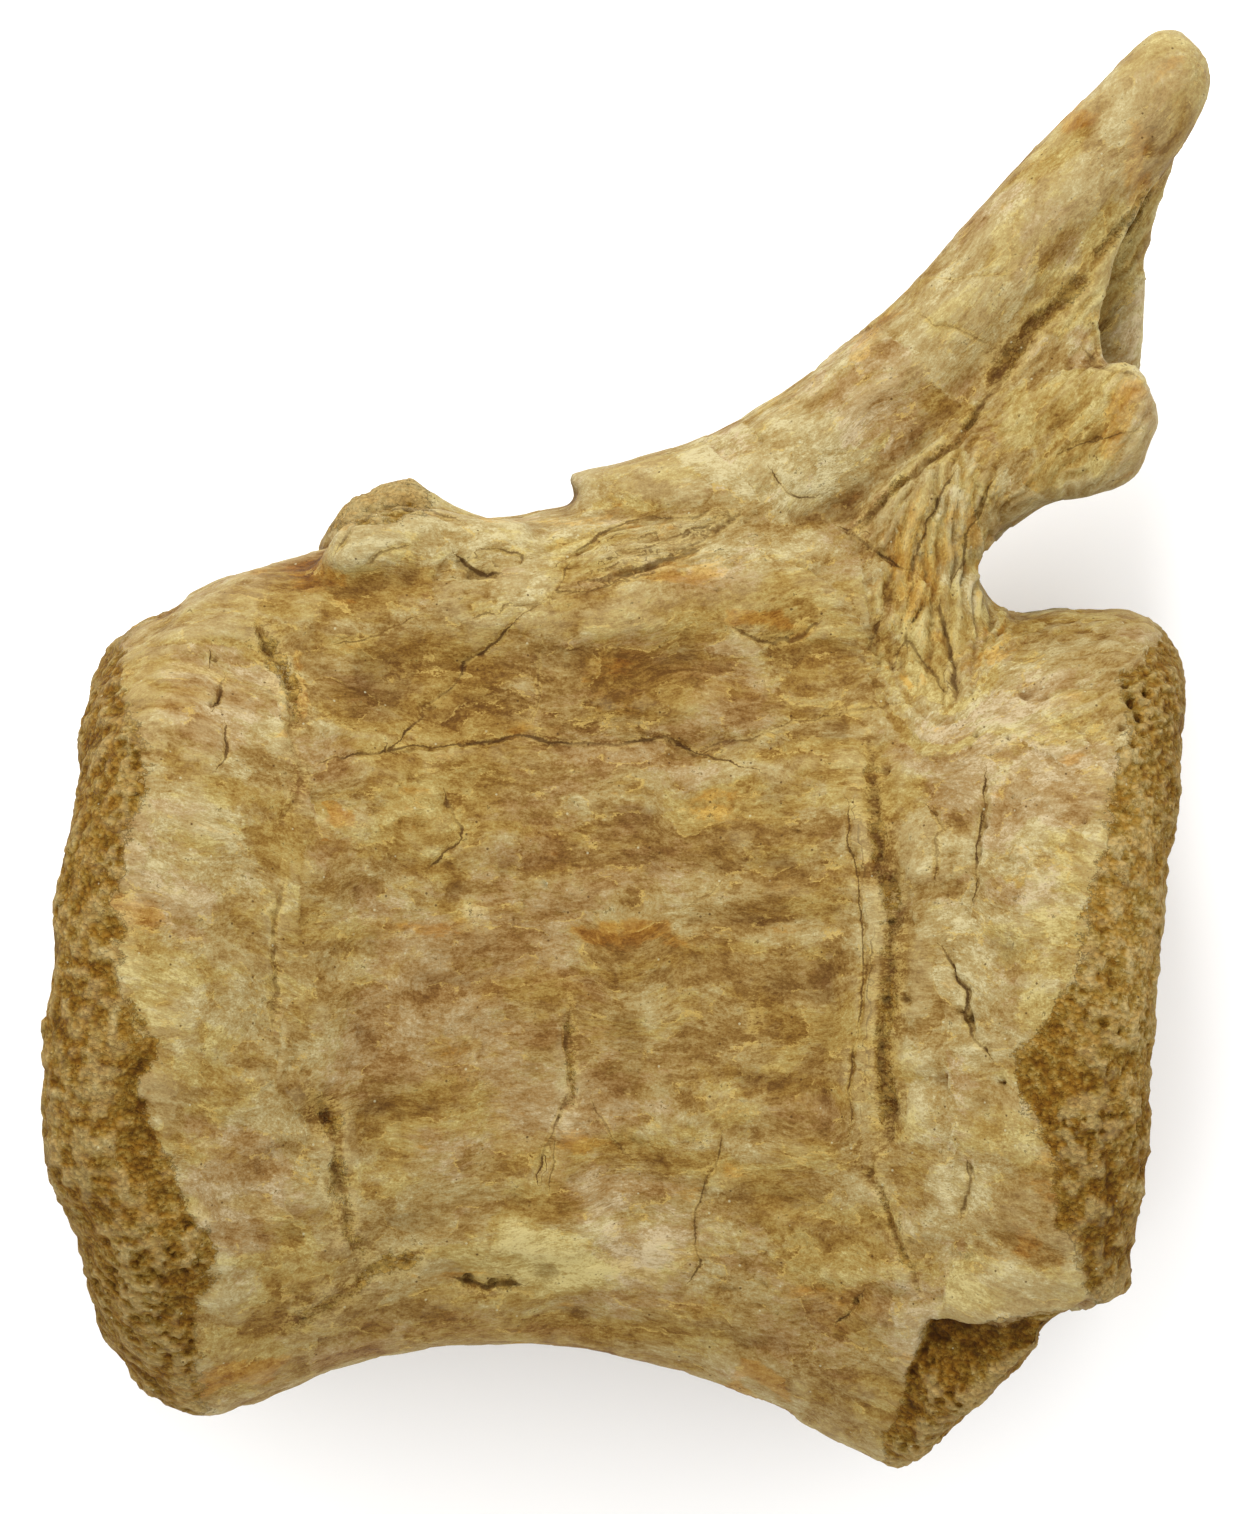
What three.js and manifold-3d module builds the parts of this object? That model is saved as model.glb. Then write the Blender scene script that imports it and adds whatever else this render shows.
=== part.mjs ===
// Tail vertebra of a large meat-eating dinosaur, a loose fossil lying on its right side.
// Millimetres. +X points to the tail end, +Y to the tip of the neural spine, +Z up, off the left flank.
import * as THREE from "three";
import { LoftGeometry } from "three/addons/geometries/LoftGeometry.js";
import { ImprovedNoise } from "three/addons/math/ImprovedNoise.js";
import { mergeVertices } from "three/addons/utils/BufferGeometryUtils.js";
import Module from "manifold-3d";

const wasm = await Module();
wasm.setup();

// Driving dimensions: the centrum's length, the width of its flared ends and of its pinched middle.
const centrumLength = 124;
const endWidth = 75;
const waistWidth = 43;
const frontX = -62.5;
const backX = frontX + centrumLength;

// The two end faces are shallow dishes inside a worn, rounded lip.
const lipDepth = 8;
const faceShare = 0.8;
const frontDish = 6;
const backDish = 5;

// Depth of the flats worn where the flared ends lie on the ground.
const restFlat = 1;
const medianHeight = endWidth / 2 - restFlat;
const groundSize = 400;
const groundDepth = 60;

// The neural canal runs the whole length over the centrum.
const canalWidth = 11.5;
const canalHeight = 10.5;

const bumpHeight = 0.45;
const bumpSpacing = 9;
const turn = 2 * Math.PI;
const boneColour = 0xb8924f;

const noise = new ImprovedNoise();

// A smooth curve through stops of [place, value], level beyond the first and last.
function through(stops) {
  const places = stops.map((stop) => stop[0]);
  const curve = new THREE.CubicInterpolant(places, stops.map((stop) => stop[1]), 1);
  return (place) => curve.evaluate(THREE.MathUtils.clamp(place, places[0], places.at(-1)))[0];
}

// A smooth line in side view through points of [x, y], read by its share from 0 to 1.
function sideLine(points) {
  return new THREE.CatmullRomCurve3(points.map(([x, y]) => new THREE.Vector3(x, y, 0)), false, "centripetal");
}

// Eases from 0 at low to 1 at high.
const ease = (low, high, value) => THREE.MathUtils.smoothstep(value, low, high);

// A rounded box section: its corner is sharper the larger the fullness.
function sectionPoint(angle, fullness) {
  const bend = (value) => Math.sign(value) * Math.abs(value) ** (2 / fullness);
  return [bend(Math.cos(angle)), bend(Math.sin(angle))];
}

// Low lumps over every surface, the same each run.
function roughen(point, centre) {
  const lump = noise.noise(point.x / bumpSpacing + 7, point.y / bumpSpacing + 3, point.z / bumpSpacing + 5);
  const outward = point.clone().sub(centre).normalize();
  return point.addScaledVector(outward, lump * bumpHeight);
}

// The middle of a ring of points, once for each of them: a loft that starts or ends on it is closed.
function pole(ring) {
  const middle = new THREE.Vector3();
  ring.forEach((point) => middle.addScaledVector(point, 1 / ring.length));
  return ring.map(() => middle);
}

// A closed solid through rings of points.
function skin(rings) {
  return solid(new LoftGeometry([pole(rings[0]), ...rings, pole(rings.at(-1))]));
}

// The same, with each ring made by ring(share), for shares from 0 to 1.
function loft(ring, steps) {
  return skin(Array.from({ length: steps + 1 }, (_, i) => ring(i / steps)));
}

// A three.js geometry as a solid: vertices that meet are merged, flattened faces are dropped
// and a shell that was wound inwards is turned outwards.
function solid(geometry) {
  const bare = new THREE.BufferGeometry();
  bare.setAttribute("position", geometry.getAttribute("position"));
  bare.setIndex(geometry.getIndex());
  const merged = mergeVertices(bare, 1e-4);
  const corners = merged.index.array;
  const kept = [];
  for (let i = 0; i < corners.length; i += 3) {
    const [a, b, c] = corners.slice(i, i + 3);
    if (a !== b && b !== c && c !== a) kept.push(a, b, c);
  }
  const vertProperties = merged.attributes.position.array;
  const wound = (order) => {
    const triVerts = new Uint32Array(order);
    return new wasm.Manifold(new wasm.Mesh({ numProp: 3, vertProperties, triVerts }));
  };
  const made = wound(kept);
  return made.volume() > 0 ? made : wound(kept.reverse());
}

// Centrum: where its front and back edges stand at each height, from -1 below to 1 above,
// then its upper and lower lines, its flare and its fullness from front to back.
const frontEdge = through([
  [-1, 10.5], [-0.8, 5.6], [-0.62, 3], [-0.46, 0.8], [-0.36, -1.8], [-0.2, -2.2], [0.1, -1.2],
  [0.5, 1], [0.8, 3.2], [1, 6],
]);
const backEdge = through([
  [-1, -12], [-0.8, -9.6], [-0.6, -7.2], [-0.5, -6.2], [-0.3, -5.1], [0, -4], [0.3, -2.5],
  [0.5, -1.7], [0.8, 0.2], [1, 0.8],
]);
const upperLine = through([
  [0, 16.6], [0.12, 16], [0.25, 14.5], [0.5, 13.5], [0.75, 14.5], [0.88, 15.6], [1, 15.6],
]);
const lowerLine = through([
  [0, -76], [0.08, -74.6], [0.16, -71.4], [0.24, -68.8], [0.36, -67.4], [0.46, -67.9],
  [0.54, -69.8], [0.64, -73], [0.74, -78], [0.8, -81], [0.9, -83], [1, -83],
]);
const flare = through([
  [0, 1], [0.09, 1], [0.2, 0.6], [0.32, 0.2], [0.5, 0], [0.66, 0.16], [0.79, 0.55], [0.91, 1], [1, 1],
]);
const waistFullness = 2.8;
const endFullness = 2.35;
const ledgeHeight = 1.2;
const ledgeDepth = 2.6;
const ventralNarrowing = 0.12;
const ventralGroove = { depth: 3, halfWidth: 7 };

// Low swellings of the left flank: the long one over its lower edge and the one at its rear corner.
const swellings = [
  { x: -6, y: -55.5, halfLength: 13, halfRise: 5.5, height: 1.3 },
  { x: 39, y: -59.5, halfLength: 7, halfRise: 4.5, height: 0.9 },
];

// Where an edge would stand if it were straight, which is how the faces inside the rims run.
const straight = (edge, height) => THREE.MathUtils.lerp(edge(-0.5), edge(0.5), height + 0.5);

// The centrum's section at a share of its length.
function centrumSection(along) {
  const upper = upperLine(along);
  const lower = lowerLine(along);
  return {
    middle: (upper + lower) / 2,
    halfHeight: (upper - lower) / 2,
    halfWidth: THREE.MathUtils.lerp(waistWidth, endWidth, flare(along)) / 2,
    fullness: THREE.MathUtils.lerp(waistFullness, endFullness, flare(along)),
  };
}

// How far the flank above the ledge is set in, between the flared ends.
function ledge(along, y) {
  const between = ease(0.16, 0.3, along) * (1 - ease(0.62, 0.8, along));
  return ledgeDepth * between * ease(ledgeHeight - 0.8, ledgeHeight + 1.4, y);
}

// How far the left flank stands out at a place in side view.
function swelling(x, y) {
  return swellings.reduce((sum, form) => {
    const far = ((x - form.x) / form.halfLength) ** 2 + ((y - form.y) / form.halfRise) ** 2;
    return sum + form.height * Math.exp(-far);
  }, 0);
}

// One ring of the centrum: its share of the length, its scale about the middle and how far it is dished.
function centrumRing(along, scale, dish, around) {
  const { middle, halfHeight, halfWidth, fullness } = centrumSection(along);
  const rim = ease(0.3, faceShare + 0.1, scale);
  const placed = (edge, height) => THREE.MathUtils.lerp(straight(edge, height), edge(height), rim);
  return Array.from({ length: around }, (_, k) => {
    const [side, rise] = sectionPoint((k / around) * turn, fullness);
    const height = scale * rise;
    const start = frontX + placed(frontEdge, height);
    const x = THREE.MathUtils.lerp(start, backX + placed(backEdge, height), along) + dish;
    const y = middle + height * halfHeight;
    const narrowed = halfWidth * (1 - ventralNarrowing * ease(0.1, 1, -rise)) - ledge(along, y);
    const z = scale * side * narrowed + swelling(x, y) * ease(0.7, 0.95, scale * side);
    const hollow = ventralGroove.depth * Math.exp(-((z / ventralGroove.halfWidth) ** 2));
    const lifted = y + hollow * ease(0.6, 1, -rise) * scale;
    return roughen(new THREE.Vector3(x, lifted, z), new THREE.Vector3(x, middle, 0));
  });
}

function centrum() {
  const around = 60;
  const faceRings = 6;
  const lipRings = 5;
  const flankRings = 14;
  const rims = [];
  for (let i = 1; i <= faceRings; i++) {
    const share = i / faceRings;
    rims.push({ scale: faceShare * share, dish: 1 - share ** 2, roll: 0 });
  }
  for (let i = 1; i <= lipRings; i++) {
    const angle = ((i / lipRings) * Math.PI) / 2;
    rims.push({ scale: faceShare + (1 - faceShare) * Math.sin(angle), dish: 0, roll: 1 - Math.cos(angle) });
  }
  const lip = lipDepth / centrumLength;
  const ring = (along, scale, dish) => centrumRing(along, scale, dish, around);
  const front = rims.map(({ scale, dish, roll }) => ring(roll * lip, scale, dish * frontDish));
  const back = rims.map(({ scale, dish, roll }) => ring(1 - roll * lip, scale, -dish * backDish));
  const flank = Array.from({ length: flankRings }, (_, i) =>
    ring(THREE.MathUtils.lerp(lip, 1 - lip, (i + 1) / (flankRings + 1)), 1, 0),
  );
  return skin([...front, ...flank, ...back.reverse()]);
}

// Half width of the centrum's flank at a place in side view.
function flankHalf(x, y) {
  let along = (x - frontX) / centrumLength;
  let height = 0;
  for (let pass = 0; pass < 3; pass++) {
    const { middle, halfHeight } = centrumSection(along);
    height = THREE.MathUtils.clamp((y - middle) / halfHeight, -1, 1);
    const start = frontX + frontEdge(height);
    along = THREE.MathUtils.clamp((x - start) / (backX + backEdge(height) - start), 0, 1);
  }
  const { halfWidth, fullness } = centrumSection(along);
  return halfWidth * (1 - Math.abs(height) ** fullness) ** (1 / fullness) - ledge(along, y);
}

// The larger of two values, with the corner between them filled by a curve as deep as the fillet.
function filleted(a, b, fillet) {
  const overlap = Math.max(0, fillet - Math.abs(a - b));
  return Math.max(a, b) + overlap ** 2 / (4 * fillet);
}

// Neural arch: the walls beside the canal and the roof over it, as one block before the canal is cut.
// Its roof and half width run from front to back, its lean from the foot up.
const archFront = -56;
const archBack = 38.4;
const archFoot = -8;
const archFillet = 7;
const footInset = 1.6;
const archRoof = through([
  [-56, 10], [-50, 16.4], [-43, 20.2], [-34, 22.2], [-24, 25], [-12, 26], [-4, 27.6], [12, 30],
  [26, 30], [34, 27.5], [38.4, 23],
]);
const archHalf = through([
  [-56, 24], [-46, 22], [-36, 19], [-24, 18], [0, 18], [16, 17.6], [28, 16], [38.4, 13],
]);
const archLean = through([
  [-8, 0.88], [2, 0.88], [6, 0.92], [12, 0.99], [16, 1], [20, 0.93], [24, 0.82], [28, 0.7], [32, 0.5],
]);
const roofFullness = 3;
const footFullness = 9;

function arch() {
  const around = 44;
  const steps = 26;
  return loft((share) => {
    const x = THREE.MathUtils.lerp(archFront, archBack, share);
    const roof = archRoof(x);
    const middle = (roof + archFoot) / 2;
    return Array.from({ length: around }, (_, k) => {
      const angle = (k / around) * turn;
      const [side, rise] = sectionPoint(angle, Math.sin(angle) > 0 ? roofFullness : footFullness);
      const y = middle + (rise * (roof - archFoot)) / 2;
      const half = filleted(archHalf(x) * archLean(y), flankHalf(x, y) - footInset, archFillet);
      return roughen(new THREE.Vector3(x, y, side * half), new THREE.Vector3(x, middle, 0));
    });
  }, steps);
}

// A solid between two lines in side view, first and second. Its middle and half thickness across the
// bone run along them, and its far end is rounded off.
function blade({ first, second, middle, half, around, steps, fullness = 2.3, rounding = 0.1 }) {
  return loft((share) => {
    const from = first.getPoint(share);
    const to = second.getPoint(share);
    const tip = Math.sqrt(1 - 0.8 * ease(1 - rounding, 1, share) ** 2);
    const centre = from.clone().lerp(to, 0.5);
    centre.z = middle(share);
    return Array.from({ length: around }, (_, k) => {
      const [across, side] = sectionPoint((k / around) * turn, fullness);
      const point = from.clone().lerp(to, 0.5 + (across * tip) / 2);
      point.z = centre.z + side * half(share) * tip;
      return roughen(point, centre);
    });
  }, steps);
}

// Shaft of the neural spine, from the broken crest over the arch to the tip.
const shaft = {
  first: sideLine([
    [-7, 30.6], [1.5, 32.6], [12.3, 36.6], [25.5, 46.3], [35.4, 56.2], [46.4, 68.3], [53, 74.6],
    [57.2, 78.5], [60.2, 80.4],
  ]),
  second: sideLine([
    [4, 12], [14, 16], [25, 23], [36, 33], [42, 43], [51, 53], [58.4, 62.4], [62.9, 69.2], [65.3, 75.5],
  ]),
  middle: () => 0,
  half: through([[0, 8.5], [0.15, 11.5], [0.3, 11], [0.5, 8.6], [0.7, 7], [0.85, 6.2], [1, 5.2]]),
  around: 32,
  steps: 28,
  rounding: 0.07,
};

// The two thin plates behind the shaft, each from its rear process up to the shaft. The near one is
// worn back from the far one, and a slot stays open between them.
const plates = [
  {
    first: sideLine([[26, 20], [29, 31], [33, 42], [39, 51], [49, 60]]),
    second: sideLine([[44, 26], [53.5, 37], [52.6, 46.5], [54, 54.5], [59, 63]]),
    middle: through([[0, 7], [0.25, 6.6], [0.5, 4.8], [1, 2.4]]),
    half: through([[0, 5], [0.25, 4.6], [0.5, 2.8], [1, 2.2]]),
    around: 16,
    steps: 18,
  },
  {
    first: sideLine([[26, 20], [29, 31], [33, 42], [40, 52], [52, 63]]),
    second: sideLine([[44, 26], [55.6, 36], [57.4, 47], [58.2, 57], [62.6, 68.6]]),
    middle: through([[0, -7], [0.25, -6.6], [0.5, -4.8], [1, -2.4]]),
    half: through([[0, 5], [0.25, 4.6], [0.5, 2.8], [1, 2.2]]),
    around: 16,
    steps: 18,
  },
];

// The rear processes: rounded lobes rooted in the back of the arch, one on each side.
const rearLobes = [1, -1].map((side) => ({
  first: sideLine([
    [26, 4], [33, 12], [37.8, 20], [41.6, 24.4], [46.2, 27], [51, 28], [55.8, 30.2], [57.8, 34],
  ]),
  second: sideLine([
    [14, 16], [20, 23], [27, 29.5], [34, 34.5], [41, 38.5], [48.6, 41.8], [55.4, 42.6], [58.8, 38.6],
  ]),
  middle: through([[0, 6 * side], [0.3, 7.6 * side], [0.6, 7.6 * side], [1, 8.2 * side]]),
  half: through([[0, 6], [0.25, 5.8], [0.45, 5], [0.7, 4.8], [0.9, 4.6], [1, 3.4]]),
  around: 24,
  steps: 20,
  rounding: 0.14,
}));

// The curve that carries the back of the arch down onto the centrum.
const rearFillet = {
  first: sideLine([[33, 25], [33, 18], [35, 12], [42, 9]]),
  second: sideLine([[37.8, 25], [38.3, 19.6], [40.6, 15.8], [47.5, 13.4]]),
  middle: () => 0,
  half: through([[0, 9], [0.5, 11], [1, 12]]),
  around: 20,
  steps: 8,
  fullness: 4,
};

// The front processes are broken off short, the far one less so than the near one.
const frontStubs = [
  {
    first: sideLine([[-4, 21], [-11, 25], [-17, 25.8], [-23, 27], [-29, 26], [-33.4, 22.5]]),
    second: sideLine([[-8, 9], [-14, 12], [-19, 14.5], [-25, 16.2], [-31, 17.6], [-35, 18.8]]),
    middle: through([[0, 8.5], [0.5, 10.5], [1, 12.5]]),
    half: through([[0, 5], [0.5, 5], [0.8, 5.6], [1, 4.6]]),
    around: 22,
    steps: 14,
    rounding: 0.16,
  },
  {
    first: sideLine([[-4, 21], [-13, 25], [-19.4, 27], [-24, 30], [-29.6, 29.6], [-33.8, 25.4]]),
    second: sideLine([[-8, 8], [-14, 10], [-19, 12], [-25, 13.4], [-31, 15], [-34.6, 19]]),
    middle: through([[0, -8.5], [0.5, -10.5], [1, -12]]),
    half: through([[0, 5], [0.5, 5], [0.8, 6], [1, 5]]),
    around: 22,
    steps: 14,
    rounding: 0.16,
  },
];

// The canal is open on top in front of the broken arch and behind it, between the processes.
const canalMiddle = through([[-70, 17.4], [-30, 17.2], [0, 17.3], [20, 17.9], [40, 19.2], [70, 20.4]]);
const canalRise = through([
  [-70, 18], [-32, 18], [-26, 12], [-21, 6], [-16, 5.3], [0, 5.3], [28, 5.3], [34, 6], [40, 7.4], [70, 8],
]);

function canal() {
  const around = 20;
  const steps = 20;
  const reach = centrumLength / 2 + 8;
  return loft((share) => {
    const x = THREE.MathUtils.lerp(-reach, reach, share);
    return Array.from({ length: around }, (_, k) => {
      const [side, rise] = sectionPoint((k / around) * turn, 2);
      const y = canalMiddle(x) + rise * (rise > 0 ? canalRise(x) : canalHeight / 2);
      return new THREE.Vector3(x, y, (side * canalWidth) / 2);
    });
  }, steps);
}

// The upright groove down the left flank in front of its rear end.
const flankGroove = {
  line: sideLine([
    [26.4, 1.8], [27.1, -6.8], [27.8, -12.6], [29.3, -18], [28.2, -28.4], [27.9, -34], [27.4, -44.6],
  ]),
  radius: 2.4,
  above: 1.5,
};

function groove({ line, radius, above }) {
  const around = 8;
  const steps = 12;
  return loft((share) => {
    const { x, y } = line.getPoint(share);
    const z = flankHalf(x, y) + swelling(x, y) + above;
    return Array.from({ length: around }, (_, k) => {
      const angle = (k / around) * turn;
      return new THREE.Vector3(x + radius * Math.cos(angle), y, z + radius * Math.sin(angle));
    });
  }, steps);
}

// A box turned in side view, whose near face is a cutting plane, centred on a point and as long as given.
function planeCut({ x, y, degrees, length }) {
  const box = new THREE.BoxGeometry(cutDepth, length, cutDepth);
  box.translate(cutDepth / 2, 0, 0);
  box.rotateZ(THREE.MathUtils.degToRad(degrees));
  box.translate(x, y, 0);
  return solid(box);
}

// The slanting facet under the rear end, where the chevron bone met the centrum, and the lobe over it
// that stands out by a small step.
const cutDepth = 90;
const chevronCuts = [
  { x: 23.9, y: -85.1, degrees: -48.1, length: 60 },
  { x: 64, y: -54, degrees: -61.9, length: 42.5 },
];

function vertebra() {
  let bone = centrum().add(arch());
  for (const piece of [shaft, ...plates, ...rearLobes, rearFillet, ...frontStubs]) {
    bone = bone.add(blade(piece));
  }
  for (const removed of [groove(flankGroove), canal(), ...chevronCuts.map(planeCut)]) {
    bone = bone.subtract(removed);
  }
  const ground = new THREE.BoxGeometry(groundSize, groundSize, groundDepth);
  ground.translate(0, 0, -medianHeight - groundDepth / 2);
  return bone.subtract(solid(ground));
}

function meshOf(name, made) {
  const data = made.getMesh();
  const geometry = new THREE.BufferGeometry();
  geometry.setAttribute("position", new THREE.BufferAttribute(data.vertProperties, 3));
  geometry.setIndex(new THREE.BufferAttribute(data.triVerts, 1));
  geometry.computeBoundingBox();
  const { min, max } = geometry.boundingBox;
  geometry.translate(-(min.x + max.x) / 2, -(min.y + max.y) / 2, medianHeight);
  geometry.computeVertexNormals();
  const finish = new THREE.MeshStandardMaterial({ color: boneColour, roughness: 0.85, metalness: 0 });
  const mesh = new THREE.Mesh(geometry, finish);
  mesh.name = name;
  return mesh;
}

const part = new THREE.Group();
part.add(meshOf("vertebra", vertebra()));
export default part;
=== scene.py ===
"""The looks of a fossil tail vertebra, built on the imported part.

Lengths are millimetres in the bone's own frame, and metres in the properties and in Blender's objects. X runs
towards the tail, Y up the bone's back, and Z off its left flank, which faces the camera. A place that was
found in the photograph is kept in its pixels, and spot() turns it into millimetres.
"""

import math

import bpy
import numpy as np
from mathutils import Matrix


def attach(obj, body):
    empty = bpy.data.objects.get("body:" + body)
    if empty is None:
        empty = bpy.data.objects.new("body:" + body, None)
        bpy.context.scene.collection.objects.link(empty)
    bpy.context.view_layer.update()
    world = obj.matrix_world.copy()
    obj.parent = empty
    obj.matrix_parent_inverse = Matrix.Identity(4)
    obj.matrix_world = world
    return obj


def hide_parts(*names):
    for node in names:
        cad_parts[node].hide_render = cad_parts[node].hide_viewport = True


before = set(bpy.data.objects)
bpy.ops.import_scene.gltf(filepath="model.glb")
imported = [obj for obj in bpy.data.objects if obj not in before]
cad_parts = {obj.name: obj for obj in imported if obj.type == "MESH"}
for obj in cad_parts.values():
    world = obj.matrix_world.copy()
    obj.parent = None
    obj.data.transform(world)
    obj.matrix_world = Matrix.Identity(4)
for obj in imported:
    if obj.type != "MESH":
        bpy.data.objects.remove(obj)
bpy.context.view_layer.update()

bl_info = {
    "name": "Fossil Tail Vertebra",
    "version": (1, 0, 0),
    "blender": (4, 5, 0),
    "location": "3D View > Sidebar > Fossil",
    "description": "Weathered fossil bone skin, cracks and colours for a dinosaur tail vertebra",
    "category": "Object",
}

MM_PER_METRE = 1000

# The size of a pixel in millimetres, the pixel over the frame's origin, and the one that the camera looks at
MM_PER_PIXEL = 0.11
PHOTO_MIDDLE = (628.5, 750.1)
CAMERA_PIXEL = (630, 757)

# The height of the bone's plane of symmetry, and how far its spine leans from X
MEDIAN = 36.5
SPINE_LEAN = math.radians(47.5)
SPINE_RUN = np.array([math.cos(SPINE_LEAN), math.sin(SPINE_LEAN)])
SPINE_SIDE = np.array([-SPINE_RUN[1], SPINE_RUN[0]])

# How far a crack is looked for, the half width from which it counts as broad, the steps of the grain's slope
# in degrees, and how strongly the far flank repeats the near one
REACH = 5.0
BROAD_CRACK = 0.35
GRAIN_STEP = 12.0
FAR_SIDE = 0.6

# How the CAD form is made smooth: the gap under which points merge, in metres, the rounds of evening out for
# the centrum, for what is higher than its top, for the fine mesh and for the relief, the heights between
# which the carving fades in over the flats, the height where the two densities meet and the most triangles
MERGE_GAP = 0.000005
CENTRUM_ROUNDS = 70
ARCH_ROUNDS = 14
CENTRUM_TOP = 6
FINE_ROUNDS = 4
RELIEF_ROUNDS = 14
REST_BAND = (0.6, 1.6)
THINNING_SEAM = MEDIAN - 4
MOST_TRIANGLES = 199000

# Large odd numbers that scramble a lattice cell into a random one, and the bits that are kept of it
CELL_STRIDES = np.array([73856093, 19349663, 83492791])
SEED_STRIDE = 374761393
SCRAMBLE = 1274126177
KEY_BITS = 0xFFFFFFF
RANDOM_BITS = 0xFFFF

# The camera's film, in millimetres each way
FILM = 36

# Cracks and grooves of the flank, as half width, depth, darkness and the places they pass
FLANK_CRACKS = {
    "suture": (0.2, 0.45, 0.9, [(312, 766), (393, 750), (482, 743), (511, 736), (559, 741), (611, 745),
        (665, 737), (689, 751), (720, 762), (757, 770)]),
    "suture_rear": (0.12, 0.25, 0.5, [(689, 751), (747, 740), (797, 722), (850, 712), (905, 700)]),
    "diagonal": (0.17, 0.4, 1.0, [(520, 615), (495, 639), (466, 662), (455, 689), (424, 704), (405, 730),
        (393, 751)]),
    "diagonal_high": (0.12, 0.2, 0.7, [(575, 560), (560, 590), (520, 615)]),
    "upper_hairline": (0.1, 0.2, 0.7, [(333, 648), (370, 641), (400, 626), (422, 617)]),
    "upper_hairline_rear": (0.1, 0.2, 0.7, [(478, 618), (492, 610), (510, 602)]),
    "upper_light": (0.1, 0.2, 0.35, [(540, 646), (536, 683), (530, 724)]),
    "front_groove_top": (0.7, 0.3, 0.0, [(261, 620), (272, 655), (285, 675), (294, 690), (296, 722),
        (290, 738)]),
    "front_groove_slit": (0.14, 0.5, 0.9, [(262, 622), (268, 642), (282, 668), (290, 690), (290, 728)]),
    "front_groove_middle": (0.3, 0.25, 0.2, [(290, 738), (306, 775), (296, 800), (277, 824)]),
    "front_groove_low": (0.28, 0.4, 0.45, [(285, 880), (275, 932), (279, 973), (275, 1027)]),
    "front_slit": (0.24, 0.9, 1.0, [(222, 682), (220, 694), (217, 708)]),
    "front_slit_high": (0.18, 0.6, 1.0, [(214, 655), (212, 668)]),
    "front_slit_low": (0.12, 0.4, 0.9, [(232, 728), (229, 752), (218, 768)]),
    "brown_crack": (0.3, 0.5, 0.8, [(325, 1110), (339, 1125), (337, 1161), (347, 1210), (351, 1255)]),
    "brown_crack_wide": (0.8, 0.25, 0.0, [(310, 1090), (335, 1120), (340, 1165), (349, 1230), (369, 1271)]),
    "low_groove": (0.8, 0.3, 0.0, [(286, 1330), (326, 1308), (369, 1271), (400, 1262), (428, 1247)]),
    "middle_crack": (0.45, 0.2, 0.0, [(569, 998), (575, 1040), (569, 1097), (560, 1115)]),
    "middle_slit": (0.14, 0.4, 1.0, [(570, 1010), (569, 1097), (553, 1125), (545, 1150), (536, 1182)]),
    "middle_branch": (0.1, 0.3, 0.7, [(553, 1125), (556, 1160), (550, 1192)]),
    "bite": (0.14, 0.3, 0.9, [(447, 790), (452, 812), (463, 838)]),
    "bite_low": (0.16, 0.35, 0.9, [(463, 838), (444, 852), (430, 868)]),
    "long_groove": (0.95, 0.3, 0.0, [(868, 735), (873, 760), (875, 813), (881, 866), (897, 915),
        (887, 952), (885, 1009), (881, 1050), (887, 1100), (884, 1131), (874, 1156)]),
    "long_slit": (0.2, 0.25, 0.4, [(868, 735), (878, 790), (874, 830), (884, 885), (893, 930),
        (882, 1000), (879, 1060), (889, 1110), (882, 1150)]),
    "long_groove_low": (0.4, 0.3, 0.15, [(874, 1156), (869, 1177), (890, 1210), (901, 1253), (920, 1290)]),
    "beside_groove": (0.13, 0.4, 0.9, [(846, 800), (852, 850), (857, 895), (863, 968), (856, 1030),
        (849, 1082), (847, 1135)]),
    "tail_crack": (0.15, 0.6, 1.0, [(985, 772), (979, 829), (973, 862), (967, 899)]),
    "tail_crack_low": (0.22, 0.8, 1.0, [(938, 945), (948, 962), (960, 985), (963, 1021), (975, 1040),
        (989, 1052)]),
    "tail_hairline": (0.13, 0.4, 0.9, [(928, 805), (942, 829), (937, 850), (933, 878)]),
    "tail_slit": (0.18, 0.8, 1.0, [(966, 1158), (962, 1185), (959, 1212)]),
    "low_hairline": (0.13, 0.4, 0.8, [(720, 1130), (715, 1160), (700, 1205), (693, 1240), (700, 1262),
        (684, 1290)]),
    "low_hairline_front": (0.1, 0.2, 0.5, [(596, 1100), (612, 1140), (640, 1165)]),
    "chevron_crack": (0.16, 0.5, 0.9, [(862, 1288), (850, 1306), (836, 1322)]),
    "under_edge": (0.4, 0.5, 0.8, [(455, 1278), (480, 1286), (520, 1284)]),
    "patch_edge": (0.12, 0.25, 0.8, [(686, 905), (700, 895), (722, 880)]),
    "scallop_edge": (0.3, 0.12, 0.1, [(752, 985), (756, 1020), (752, 1044), (768, 1062), (782, 1070)]),
    "rear_steps": (0.2, 0.4, 0.6, [(905, 640), (930, 668), (944, 690), (952, 706)]),
}

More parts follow.
